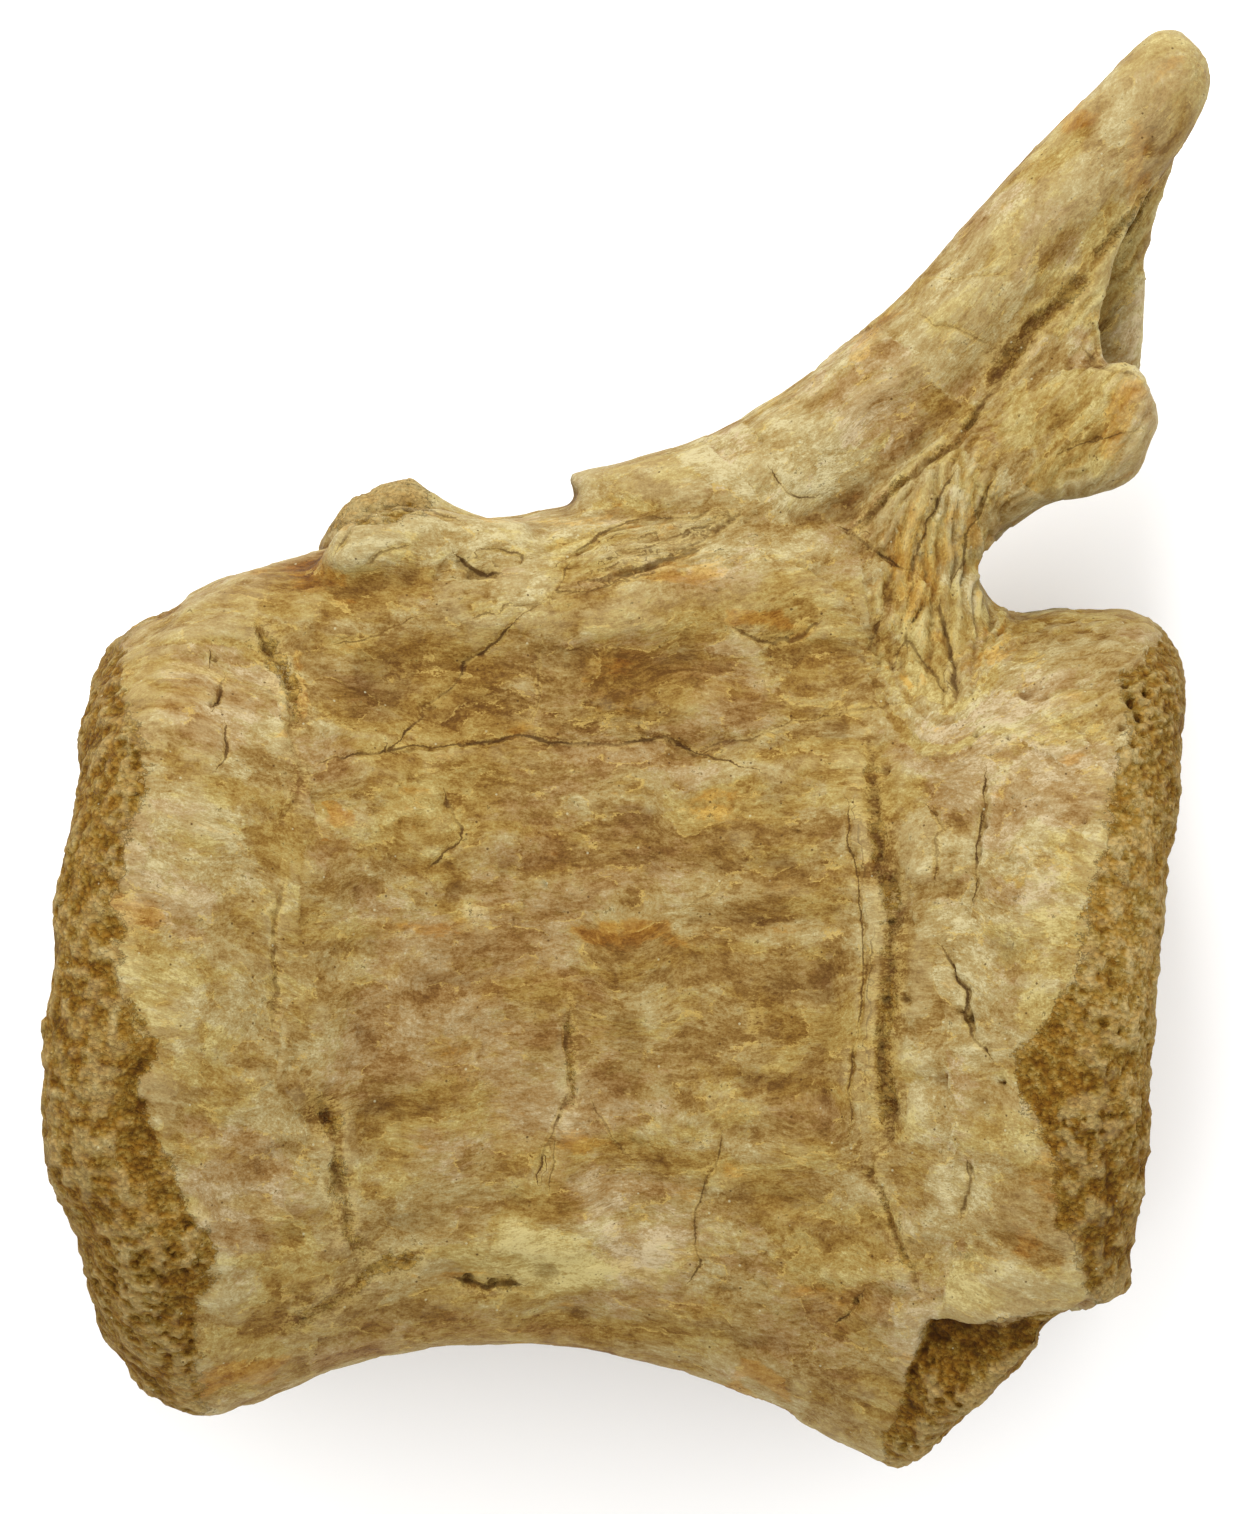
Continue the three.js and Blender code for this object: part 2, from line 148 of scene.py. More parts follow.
# Cracks and grooves of the arch and the spine
ARCH_CRACKS = {
    "stub_crease": (0.22, 0.7, 0.7, [(338, 556), (350, 530), (380, 512), (415, 507), (442, 512),
        (461, 520)]),
    "stub_line": (0.14, 0.3, 0.6, [(365, 566), (378, 556), (391, 549), (408, 545)]),
    "bundle_top": (0.1, 0.25, 0.7, [(590, 572), (640, 557), (690, 539), (742, 516)]),
    "bundle_under": (0.12, 0.3, 0.8, [(598, 562), (650, 546), (700, 529), (736, 514)]),
    "bundle_upper": (0.16, 0.4, 0.8, [(560, 567), (585, 548), (609, 531), (649, 518), (690, 515),
        (730, 513)]),
    "bundle_middle": (0.16, 0.5, 0.8, [(590, 580), (640, 568), (680, 552), (715, 532), (745, 515)]),
    "bundle_lower": (0.3, 0.4, 0.7, [(585, 580), (620, 578), (660, 565), (700, 550)]),
    "bundle_foot": (0.12, 0.3, 0.6, [(500, 610), (550, 597), (600, 588), (660, 575)]),
    "bundle_line": (0.1, 0.3, 0.7, [(610, 548), (650, 538), (700, 528), (735, 517)]),
    "shoulder_crack": (0.3, 0.8, 1.0, [(458, 557), (470, 566), (482, 574), (502, 577)]),
    "shoulder_line": (0.12, 0.3, 0.8, [(478, 545), (505, 549), (527, 556), (520, 570)]),
    "spine_root": (0.13, 0.4, 0.9, [(772, 470), (783, 487), (796, 495), (815, 493)]),
    "plate_groove_low": (0.4, 0.8, 0.4, [(850, 531), (880, 505), (904, 478), (935, 455), (957, 442),
        (975, 415), (989, 393)]),
    "plate_groove": (0.9, 0.7, 0.1, [(989, 393), (1006, 357), (1030, 330), (1051, 312), (1091, 268)]),
    "plate_groove_high": (0.5, 0.6, 0.2, [(1091, 268), (1110, 245), (1127, 228), (1145, 203), (1158, 179)]),
    "branch": (0.22, 0.7, 0.9, [(838, 528), (862, 543), (885, 560), (905, 568)]),
    "fan_dark": (0.3, 0.7, 0.8, [(940, 600), (946, 630), (952, 660), (956, 698)]),
    "fan_line": (0.16, 0.5, 0.8, [(955, 470), (930, 520), (915, 560), (905, 600)]),
    "fan_line_front": (0.14, 0.4, 0.6, [(890, 590), (880, 620), (868, 650)]),
    "fan_line_rear": (0.16, 0.5, 0.8, [(1000, 470), (980, 510), (965, 545), (950, 590)]),
    "fan_line_low": (0.14, 0.4, 0.6, [(925, 600), (905, 640), (893, 665)]),
    "cross_line": (0.1, 0.2, 0.3, [(935, 277), (960, 279), (984, 277), (1020, 268), (1047, 272)]),
    "cross_line_low": (0.1, 0.2, 0.4, [(915, 310), (935, 321), (971, 333), (989, 344)]),
    "lobe_crease": (0.14, 0.4, 0.8, [(1056, 456), (1078, 446), (1095, 440), (1120, 434), (1140, 432)]),
    "lobe_fold": (0.3, 0.4, 0.5, [(1085, 352), (1100, 368), (1118, 374), (1138, 376)]),
    "wall_pits": (0.3, 0.4, 0.7, [(735, 630), (752, 640), (775, 643), (800, 636), (815, 624)]),
}

# Small holes, as radius, depth and place
HOLES = [
    (0.6, 1.3, (963, 1018)), (0.4, 1.1, (955, 1008)), (0.45, 1.0, (997, 1081)), (0.35, 0.8, (982, 825)),
    (0.7, 1.0, (470, 1280)), (0.5, 0.8, (492, 1284)), (0.35, 0.8, (855, 1300)), (0.5, 0.7, (905, 1000)),
    (0.5, 0.8, (890, 920)), (0.5, 0.7, (884, 768)), (0.3, 0.6, (720, 590)), (0.35, 0.6, (1080, 820)),
    (0.7, 1.2, (1128, 700)), (0.6, 1.0, (1136, 716)), (0.5, 0.9, (1121, 684)), (0.45, 0.8, (1144, 690)),
    (0.5, 0.8, (1129, 745)), (0.4, 0.8, (1118, 728)), (0.3, 0.6, (975, 735)), (0.25, 0.5, (990, 742)),
    (0.3, 0.6, (1005, 738)), (0.25, 0.5, (1022, 748)), (0.3, 0.5, (968, 748)), (0.25, 0.5, (1040, 744)),
    (0.45, 0.9, (471, 574)), (0.3, 0.6, (462, 566)), (0.3, 0.6, (219, 660)), (0.3, 0.6, (215, 705)),
]

# Inner edges of the worn rims, from top to bottom
FRONT_RIM = [
    (190, 560), (160, 615), (120, 640), (145, 740), (150, 790), (130, 850), (126, 930), (130, 985),
    (158, 1050), (145, 1085), (160, 1140), (195, 1200), (218, 1250), (200, 1300), (195, 1370), (215, 1440),
]
REAR_RIM = [
    (1180, 600), (1160, 640), (1122, 670), (1120, 740), (1105, 800), (1100, 860), (1078, 930),
    (1055, 1000), (1022, 1040), (1018, 1100), (1048, 1150), (1050, 1200), (1070, 1250), (1100, 1320),
    (1140, 1420),
]

# Soft patches of each tint, as place, half width, half height and strength. A few cream patches are painted
# light and a few brown patches painted shade, as noted at them.
TINTS = {
    "cream": [
        (215, 850, 75, 130, 0.6), (235, 690, 70, 60, 0.7), (180, 1010, 50, 70, 0.6),
        (255, 1190, 60, 90, 0.3), (430, 520, 90, 30, 0.9), (600, 545, 200, 45, 1.1),
        (690, 610, 190, 40, 0.5), (790, 455, 120, 50, 0.9), (920, 300, 50, 30, 0.3),
        (1090, 330, 45, 90, 0.5), (1095, 420, 50, 45, 0.7), (1130, 920, 40, 210, 1.0),
        (1000, 690, 110, 55, 0.95), (1030, 850, 75, 130, 0.8), (1000, 960, 70, 70, 0.8),
        (960, 1120, 65, 90, 0.6), (990, 1290, 60, 40, 0.5), (570, 1250, 125, 40, 1.1),
        (240, 1360, 60, 40, 0.4), (620, 805, 130, 22, 0.35), (700, 880, 60, 18, 0.3),
        (490, 900, 90, 25, 0.25), (1010, 500, 40, 40, 0.4), (945, 590, 60, 130, 1.0),
        (560, 1260, 130, 45, 0.3), (820, 1290, 60, 60, 0.1), (395, 530, 50, 22, 0.4),
        (880, 470, 60, 60, 0.4), (240, 700, 60, 60, 0.4), (1075, 380, 60, 80, 0.4),
        (1110, 100, 34, 34, 0.3), (1060, 150, 34, 34, 0.6), (1010, 205, 34, 34, 0.6),
        (960, 260, 34, 34, 0.7), (905, 315, 34, 30, 0.7), (845, 365, 36, 26, 0.7),
        # The patches at (1138, 310) and (1140, 210) in the next two lines brighten the far rear plate:
        # painted light where it lies in shade between the plates
        (780, 410, 40, 24, 0.7), (1105, 280, 36, 80, 0.9), (1138, 310, 30, 90, 1.4),
        (1140, 210, 24, 50, 1.2), (1050, 350, 30, 60, 0.6),
    ],
    "brown": [
        # The patch at (540, 690) darkens the trough under the arch, and the one at (520, 1335) darkens the
        # bottom band that faces away from the lamp: painted shade
        (540, 690, 240, 42, 0.75), (760, 690, 110, 50, 0.4), (640, 840, 170, 40, 0.4),
        (732, 915, 55, 26, 0.6), (600, 885, 60, 24, 0.6), (520, 1335, 190, 26, 0.55),
        (1050, 800, 62, 34, 0.7), (950, 370, 50, 40, 0.35), (1060, 190, 60, 40, 0.35),
        (325, 1108, 24, 26, 1.0), (884, 930, 14, 240, 0.4), (300, 1290, 60, 40, 0.5),
        (780, 1330, 90, 50, 0.6), (420, 720, 70, 26, 0.5), (860, 1080, 40, 90, 0.3),
        (1020, 330, 30, 40, 0.3), (550, 960, 150, 130, 0.25), (280, 590, 60, 20, 0.35),
        (460, 1290, 30, 14, 0.7), (1165, 100, 50, 70, 0.6), (1085, 1160, 40, 110, 0.5),
        (970, 1380, 70, 60, 0.3), (160, 1330, 40, 80, 0.2), (680, 612, 150, 36, 0.45),
        (380, 495, 50, 14, 0.5), (200, 870, 60, 160, 0.2), (1020, 870, 60, 120, 0.15),
    ],
    "yellow": [
        (520, 690, 240, 45, 0.4), (640, 840, 200, 30, 0.1), (945, 590, 70, 140, 0.5),
        (820, 1290, 60, 60, 0.8), (1130, 300, 40, 110, 0.7), (1060, 150, 40, 50, 0.3),
        (930, 290, 50, 50, 0.3), (660, 610, 170, 45, 0.5), (1165, 90, 50, 60, 0.5),
        (500, 1330, 170, 30, 0.6), (260, 1280, 90, 90, 0.8), (590, 800, 210, 26, 0.4),
        (560, 1260, 130, 45, 1.0), (975, 1290, 60, 45, 0.6), (1090, 370, 60, 90, 0.6),
        (330, 590, 90, 30, 0.4), (470, 900, 60, 40, 0.3), (500, 1150, 160, 60, 0.2),
        (1050, 880, 60, 90, 0.15), (800, 1060, 50, 60, 0.3), (250, 900, 60, 200, 0.2),
        (960, 560, 40, 90, 0.3), (800, 1180, 90, 60, 0.3),
    ],
    "mauve": [
        (215, 690, 60, 60, 0.6), (470, 1000, 150, 130, 0.6), (500, 1110, 130, 60, 0.5),
        (250, 1180, 60, 60, 0.5), (700, 745, 70, 30, 0.4), (1050, 795, 65, 40, 0.8),
        (950, 760, 50, 50, 0.4), (1040, 230, 60, 60, 0.45), (640, 860, 150, 40, 0.3),
        (960, 1120, 50, 60, 0.3), (560, 1180, 120, 50, 0.3), (860, 400, 60, 60, 0.3),
        (330, 800, 30, 60, 0.35), (190, 850, 60, 100, 0.3),
    ],
    "orange": [
        (640, 935, 70, 16, 0.7), (1085, 120, 26, 20, 0.9), (760, 630, 40, 14, 0.9),
        (240, 1372, 60, 26, 0.8), (755, 1388, 36, 16, 0.9), (1142, 170, 22, 40, 0.7),
        (870, 345, 30, 26, 0.5), (1050, 1200, 40, 70, 0.5), (120, 900, 50, 160, 0.3),
        (1130, 900, 40, 200, 0.35), (905, 560, 50, 90, 0.6), (450, 925, 50, 12, 0.5),
        (300, 530, 60, 34, 0.6), (560, 522, 150, 18, 0.5), (960, 470, 80, 60, 0.35),
        (1125, 430, 34, 40, 0.6), (1000, 560, 40, 50, 0.5), (820, 400, 90, 16, 0.4),
        (340, 812, 14, 12, 1.4), (328, 836, 10, 8, 1.2), (290, 700, 12, 60, 0.6), (325, 583, 34, 20, 0.7),
        (645, 577, 40, 10, 0.6), (970, 640, 60, 20, 0.5), (1125, 330, 16, 80, 0.5),
        (700, 560, 40, 30, 0.4),
    ],
}


def tone(red, green, blue):
    """A screen colour as the linear values that a colour property keeps."""
    parts = [value / 255 for value in (red, green, blue)]
    return tuple(c / 12.92 if c <= 0.04045 else ((c + 0.055) / 1.055) ** 2.4 for c in parts)


def spot(place):
    """A place in the photograph, in millimetres in the bone's frame."""
    return np.array([place[0] - PHOTO_MIDDLE[0], PHOTO_MIDDLE[1] - place[1]]) * MM_PER_PIXEL


def blend(low, high, value):
    """0 below low, 1 above high and a smooth rise between. It falls instead where low is the larger."""
    share = np.clip((value - low) / (high - low), 0, 1)
    return share * share * (3 - 2 * share)


def scrambled(key, mask):
    """Random whole numbers that depend only on the key."""
    key = (key ^ (key >> 13)) * SCRAMBLE
    return (key ^ (key >> 16)) & mask


def lattice_noise(points, size, seed):
    """Smooth noise from -1 to 1, with lumps about one size across."""
    scaled = points / size
    base = np.floor(scaled)
    part = scaled - base
    part = part * part * part * (part * (part * 6 - 15) + 10)
    cell = base.astype(np.int64)
    total = np.zeros(len(points))
    for corner in range(8):
        step = np.array([corner & 1, corner >> 1 & 1, corner >> 2 & 1])
        key = scrambled((cell + step) @ CELL_STRIDES + seed * SEED_STRIDE, RANDOM_BITS)
        weight = np.prod(np.where(step == 1, part, 1 - part), axis=1)
        total += weight * (key / (RANDOM_BITS / 2) - 1)
    return total


def pit_noise(points, size, seed):
    """1 at the middle of scattered round pits about one size apart, falling to 0 between them."""
    scaled = points / size
    cell = np.floor(scaled).astype(np.int64)
    nearest = np.full(len(points), 9.0)
    for corner in range(27):
        step = np.array([corner % 3, corner // 3 % 3, corner // 9]) - 1
        home = cell + step
        key = home @ CELL_STRIDES + seed * SEED_STRIDE
        centre = np.empty_like(scaled)
        for axis in range(3):
            key = scrambled(key, KEY_BITS)
            centre[:, axis] = home[:, axis] + (key & RANDOM_BITS) / RANDOM_BITS
        nearest = np.minimum(nearest, ((scaled - centre) ** 2).sum(axis=1))
    return blend(0.55, 0.1, np.sqrt(nearest))


def beside(flat, places):
    """How far each point is from a line, on which side of it, and how far along it, from 0 to 1."""
    line = np.array([spot(place) for place in places])
    away = np.full(len(flat), REACH)
    side = np.full(len(flat), REACH)
    along = np.zeros(len(flat))
    near = np.flatnonzero(((flat > line.min(axis=0) - REACH) & (flat < line.max(axis=0) + REACH)).all(axis=1))
    begun = np.concatenate([[0], np.cumsum(np.hypot(*np.diff(line, axis=0).T))])
    begun /= begun[-1]
    for step in range(len(line) - 1):
        run = line[step + 1] - line[step]
        off = flat[near] - line[step]
        share = np.clip(off @ run / (run @ run), 0, 1)
        off -= share[:, None] * run
        gap = np.hypot(off[:, 0], off[:, 1])
        turn = np.where(run[0] * off[:, 1] > run[1] * off[:, 0], 1, -1)
        closer = gap < away[near]
        chosen = near[closer]
        away[chosen] = gap[closer]
        side[chosen] = (turn * gap)[closer]
        along[chosen] = (begun[step] + share * (begun[step + 1] - begun[step]))[closer]
    return away, side, along


def patch(flat, place, half_width, half_height):
    """1 in the middle of an oval seen in the photograph, falling to 0 a little outside it."""
    off = (flat - spot(place)) / (np.array([half_width, half_height]) * MM_PER_PIXEL)
    return blend(1.3, 0.55, np.hypot(off[:, 0], off[:, 1]))


def edge_at(height, places):
    """Where an edge that runs from top to bottom lies at each height."""
    line = np.array([spot(place) for place in places])[::-1]
    return np.interp(height, line[:, 1], line[:, 0])


def flow(place):
    """The slope of the bone's grain at each place, in degrees from the centrum's own length."""
    slope = -11 * blend(-30, -42, place[:, 0]) - 9 * blend(26, 40, place[:, 0])
    slope *= blend(14, 8, place[:, 1])
    wall = patch(place, (690, 580), 260, 75)
    root = blend(0, 12, (place - spot((700, 520))) @ SPINE_RUN)
    slope += 16 * wall + (30 - 16 * wall) * root
    slope += 18 * blend(4, 22, (place - spot((830, 470))) @ SPINE_RUN) * root
    fan = patch(place, (940, 590), 70, 150)
    upright = np.interp(place[:, 0], [25, 36], [60, 86])
    return slope * (1 - fan) + upright * fan


def along_grain(points, slope):
    """Each place as how far it is along the grain, across it and off the median plane."""
    turn = np.radians(slope)
    along = points[:, 0] * np.cos(turn) + points[:, 1] * np.sin(turn)
    across = points[:, 1] * np.cos(turn) - points[:, 0] * np.sin(turn)
    return np.stack([along, across, points[:, 2]], axis=1)


def stepped(slope, jitter):
    """A slope in steps, so that the grain breaks off at each change instead of bending out of shape."""
    return np.round((slope + 4 * jitter) / GRAIN_STEP) * GRAIN_STEP


def noises(points, size, seed, count):
    """Several fields of smooth noise side by side."""
    return np.stack([lattice_noise(points, size, seed + step) for step in range(count)], axis=1)


def sideways(pushes):
    """Pushes in the plane of the photograph, as pushes in space."""
    return np.pad(pushes, ((0, 0), (0, 1)))


class Survey:
    """What the bone's surface is like at each point: its height over the smooth form, and what colours it."""

    def __init__(self, points, normals):
        self.points = points
        self.normals = normals
        self.near = points[:, 2] > MEDIAN
        self.facing = blend(0.12, 0.4, np.abs(normals[:, 2]))
        self.broad = lattice_noise(points, 16, 1)
        self.lumps = lattice_noise(points, 6, 2)
        self.knots = lattice_noise(points, 2.4, 3)
        self.grains = lattice_noise(points, 1.1, 4)
        self.bend = noises(points, 3.4, 5, 2)
        self.shiver = noises(points, 1.2, 7, 2)
        self.drift = noises(points, 7, 9, 2)
        self.pits = pit_noise(points + 0.5 * sideways(self.shiver), 1.2, 14)
        self.seen = points[:, :2]
        self.up_spine = (self.seen - spot((830, 500))) @ SPINE_RUN
        self.run = along_grain(points, stepped(flow(self.seen), self.lumps)) + 0.9 * sideways(self.bend)
        self.break_line = self.seen + 0.7 * self.bend + 0.25 * self.shiver + 0.5 * self.drift
        self.under_lobe = (self.break_line - spot((925, 1325))) @ np.array([0.12, -0.99])
        facet_side = (self.break_line - spot((900, 1400))) @ np.array([0.97, -0.25])
        self.facet = blend(-0.5, 0.5, facet_side)
        self.field = {}
        self.height = 0.2 * self.broad + 0.2 * self.lumps + 0.06 * self.knots
        self.add_tints()
        self.worn = self.worn_ends()
        self.add_layers()
        self.add_pits()
        self.add_forms()
        self.add_ridges()
        self.add_cracks()
        self.add_holes()

    def add_tints(self):
        """Adds the named patches of tint, and patches that follow the grain. Some cream patches are painted
        light, and some brown patches painted shade.
        """
        spread = self.seen + 2.2 * self.drift + 1.4 * self.bend + 0.6 * self.shiver
        field = self.field
        for tint, ovals in TINTS.items():
            total = np.zeros(len(spread))
            for px, py, half_width, half_height, strength in ovals:
                total = np.maximum(total, strength * patch(spread, (px, py), half_width, half_height))
            field[tint] = total * np.where(self.near, 1, FAR_SIDE)
        run = self.run
        banks = lattice_noise(run * (0.4, 1, 1), 3.0, 21) + 0.7 * lattice_noise(run * (0.45, 1, 1), 1.4, 22)
        islands = lattice_noise(run * (0.5, 1, 1), 5.5, 23)
        islands = islands + 0.5 * lattice_noise(run * (0.4, 1, 1), 2.1, 24)
        ribbons = lattice_noise(run * (0.22, 1, 1), 2.2, 25)
        field["mauve"] = np.clip(0.25 + field["mauve"] * 0.9 + 0.5 * islands, 0, 1)
        rusty = 0.55 * (self.lumps * ribbons * 2 + 0.3 * banks)
        field["orange"] = np.clip(field["orange"] * 1.1 + rusty - 0.05, 0, 1)
        drops = 0.35 * lattice_noise(self.points, 9, 26) + 0.4 * ribbons - 0.3 * islands
        field["yellow"] = np.clip(0.15 + 0.6 * field["yellow"] + drops, 0, 1)
        patches = 0.22 * field.pop("cream") - 0.22 * field.pop("brown")
        field["tone"] = patches + 0.06 * banks + 0.07 * self.knots + 0.06 * self.broad
        field["flake"] = banks

    def worn_ends(self):
        """1 where the thin outer bone is gone: rims, end faces, and the broken roof, stub, tip and facet."""
        x, y, _ = self.points.T
        bend = self.bend
        rim_line = self.break_line + 0.55 * self.shiver + 0.25 * self.grains[:, None]
        front = blend(1.2, -1.4, rim_line[:, 0] - edge_at(rim_line[:, 1], FRONT_RIM))
        rear = blend(-1.2, 1.4, rim_line[:, 0] - edge_at(rim_line[:, 1], REAR_RIM))
        rims = np.maximum(front, rear) * blend(17.0, 14.5, y + 2 * self.broad)
        chevron = blend(-0.5, 0.5, self.under_lobe) * self.facet
        roof = blend(-0.4, 0.6, y - 25.6 + 0.10 * np.abs(x + 20) + 1.4 * bend[:, 0]) * blend(-21, -23, x)
        front_stub = patch(self.seen + bend, (375, 500), 50, 30) * np.where(self.near, 0.35, 1)
        tip = blend(0, 3, self.up_spine - 66 + 2 * bend[:, 0])
        ends = blend(0.75, 0.9, np.abs(self.normals[:, 0])) * blend(46, 50, np.abs(x)) * blend(14, 10, y)
        worn = np.maximum.reduce([rims, chevron, 0.8 * roof, front_stub, 0.6 * tip, ends])
        return np.clip(worn, 0, 1)

    def add_layers(self):
        """Adds the thin layers of the outer bone, whose edges run with the grain."""
        layer = 2.4 * lattice_noise(self.run * (0.17, 1, 1), 2.6, 11)
        layer = layer + 0.8 * lattice_noise(self.points, 3.2, 12)
        share = layer - np.floor(layer)
        outer = 1 - self.worn
        self.height += 0.13 * (np.floor(layer) + blend(0.78, 1.0, share)) * outer
        self.height += 0.05 * lattice_noise(self.run * (0.3, 1, 1), 0.8, 13) * outer

    def add_pits(self):
        """Adds the pits and lumps of the spongy bone, and a few pits in the outer bone."""
        knots, grains, lumps, pits = self.knots, self.grains, self.lumps, self.pits
        sparse = blend(0.1, 0.6, lumps + 0.5 * self.broad + 0.3 * grains)
        self.height += self.worn * (0.14 * knots + 0.3 * grains + 0.35 * lumps - 0.3 - 0.5 * pits * sparse)
        self.height -= 0.3 * (1 - self.worn) * pits * blend(0.5, 0.8, knots * 0.5 + lumps)

    def add_forms(self):
        """Adds the lumps, hollows and steps that are finer than the solid."""
        seen, bend, near = self.seen, self.bend, self.near
        knobbly = 0.75 + 0.25 * self.knots
        self.height += 0.55 * patch(seen + 0.8 * bend, (572, 1256), 118, 40) * knobbly * near
        self.height -= 0.4 * patch(seen, (801, 1000), 46, 52) * near
        self.height += 0.5 * patch(seen, (985, 1292), 58, 38) * near
        self.height -= 1.2 * blend(-0.2, 0.5, self.under_lobe) * blend(8, 1.5, self.under_lobe) * self.facet
        self.height -= 0.6 * patch(seen + bend, (325, 1108), 22, 24) * (0.7 + 0.5 * self.grains) * near

    def add_ridges(self):
        """Adds the ropy ridges of the fan under the spine, the rear plate and the bundle on the arch."""
        x = self.points[:, 0]
        across = self.run[:, 1] * 2 * math.pi
        rope = np.sin(across / 1.5 + 1.5 * self.knots) + 0.6 * np.sin(across / 0.95)
        fibres = patch(self.seen + self.bend, (935, 590), 75, 150) * blend(0, 4, x - 20)
        self.height += 0.17 * rope * fibres * self.facing
        spine = blend(-6, 6, self.up_spine) * blend(-2, 2, x - 10)
        plates = blend(0.5, -1.5, (self.seen - spot((989, 393))) @ SPINE_SIDE) * spine
        self.height += 0.13 * rope * plates * self.facing
        bundle = patch(self.seen + 0.5 * self.bend, (650, 548), 105, 36)
        self.height += 0.17 * rope * bundle * self.facing

    def flank_places(self):
        """Each place in the photograph's plane, turned over on the far flank so that its marks differ."""
        return np.where(self.near[:, None], self.seen, self.seen * (-0.96, 0.98) + (3.0, 0.8))

    def add_cracks(self):
        """Cuts each crack as a valley with torn sides, and keeps its signed distance for the shader."""
        count = len(self.points)
        crack_side = np.full(count, REACH)
        crack_away = np.full(count, REACH)
        crack_width = np.full(count, 0.2)
        crack_dark = np.zeros(count)
        crumbly = np.zeros(count)
        gaps = 0.4 + 0.6 * blend(-0.45, 0.0, lattice_noise(self.points, 1.9, 15))
        sides = np.where(self.near, 1, FAR_SIDE)
        for group, place in ((FLANK_CRACKS, self.flank_places()), (ARCH_CRACKS, self.seen)):
            torn = place + 0.4 * self.bend + 0.35 * self.shiver
            for width, depth, dark, places in group.values():
                away, side, along = beside(torn, places)
                broken = sides * (gaps if width < BROAD_CRACK else 1)
                taper = blend(0, 0.12, along) * blend(1, 0.88, along) * 0.7 + 0.3
                open_width = width * taper * (1 + 0.5 * self.knots)
                valley = blend(1.0, 0.1, away / np.maximum(open_width + 0.32, 0.3))
                self.height -= depth * taper * valley * self.facing * broken
                if width >= BROAD_CRACK:
                    crumbs = blend(0.5, -0.3, away - open_width - 0.2 * self.grains)
                    crumbly = np.maximum(crumbly, taper * crumbs)
                closer = away - open_width < crack_away - crack_width
                crack_side = np.where(closer, side, crack_side)
                crack_away = np.where(closer, away, crack_away)
                crack_width = np.where(closer, open_width, crack_width)
                crack_dark = np.where(closer, dark * broken, crack_dark)
        self.crumbly = crumbly
        self.field["worn"] = np.maximum(self.worn, (0.5 + 0.3 * self.knots) * crumbly * self.facing)
        self.field["crack_side"] = np.clip(crack_side, -3, 3)
        self.field["crack_near"] = blend(1.3, 0.9, crack_away - crack_width) * self.facing
        self.field["crack_dark"] = crack_dark
        self.field["crack_width"] = crack_width

    def add_holes(self):
        """Sinks the small holes, then roughens the floors of the broad grooves."""
        places = self.flank_places()
        for radius, depth, place in HOLES:
            off = places + 0.25 * self.bend - spot(place)
            self.height -= depth * blend(1.25, 0.35, np.hypot(off[:, 0], off[:, 1]) / radius) * self.facing
        self.height += 0.15 * self.crumbly * (self.grains - self.pits) * self.facing


def alone(obj):
    """Selects one object and nothing else."""
    bpy.ops.object.select_all(action="DESELECT")
    obj.select_set(True)
    bpy.context.view_layer.objects.active = obj


def apply_modifier(obj, kind, **settings):
    """Adds a modifier, sets it and applies it."""
    alone(obj)
    modifier = obj.modifiers.new(kind.lower(), kind)
    for name, value in settings.items():
        setattr(modifier, name, value)
    bpy.ops.object.modifier_apply(modifier=modifier.name)


def vectors(items, name):
    """One vector for each item of a mesh."""
    flat = np.empty(len(items) * 3, np.float32)
    items.foreach_get(name, flat)
    return flat.reshape(-1, 3).astype(float)


def numbers(items, name, width=1):
    """One or more whole numbers for each item of a mesh, one item after another."""
    flat = np.empty(len(items) * width, np.int32)
    items.foreach_get(name, flat)
    return flat


def points_of(mesh):
    """The places of a mesh's points, in millimetres."""
    return vectors(mesh.vertices, "co") * MM_PER_METRE


def normals_of(mesh):
    """The direction that the surface faces at each point."""
    return vectors(mesh.vertex_normals, "vector")


def edges_of(mesh):
    """The two point numbers of every edge."""
    return numbers(mesh.edges, "vertices", 2).reshape(-1, 2)


def corners_of(mesh):
    """The point number at every corner of every face."""
    return numbers(mesh.loops, "vertex_index")


def place_points(mesh, points):
    """Moves a mesh's points to places in millimetres."""
    mesh.vertices.foreach_set("co", (points / MM_PER_METRE).astype(np.float32).ravel())
    mesh.update()


def neighbour_mean(values, edges, count):
    """The mean of each point's neighbours."""
    total = np.empty_like(values)
    for axis in range(values.shape[1]):
        total[:, axis] = np.bincount(edges[:, 0], values[edges[:, 1], axis], len(values))
        total[:, axis] += np.bincount(edges[:, 1], values[edges[:, 0], axis], len(values))
    return total / count[:, None]


def relax(points, edges, rounds):
    """Evens out a surface without shrinking it, for a number of rounds given for each point."""
    count = np.bincount(edges.ravel(), minlength=len(points)).astype(float)
    for turn in range(int(rounds.max())):
        moving = (rounds > turn)[:, None]
        for share in (0.5, -0.52):
            points = points + np.where(moving, share * (neighbour_mean(points, edges, count) - points), 0)
    return points


def triangles_of(mesh):
    """How many triangles a mesh's faces make."""
    return sum(len(polygon.vertices) - 2 for polygon in mesh.polygons)


def thin_out(obj, chosen, wanted):
    """Takes triangles away where chosen is true, until that part has about the wanted number."""
    inside = chosen[corners_of(obj.data)].mean()
    total = triangles_of(obj.data)
    kept = total * (1 - inside)
    group = obj.vertex_groups.new(name="thinned")
    group.add(np.flatnonzero(chosen).tolist(), 1.0, "REPLACE")
    apply_modifier(obj, "DECIMATE", vertex_group="thinned", ratio=min(1.0, (kept + wanted) / total))
    obj.vertex_groups.remove(obj.vertex_groups["thinned"])


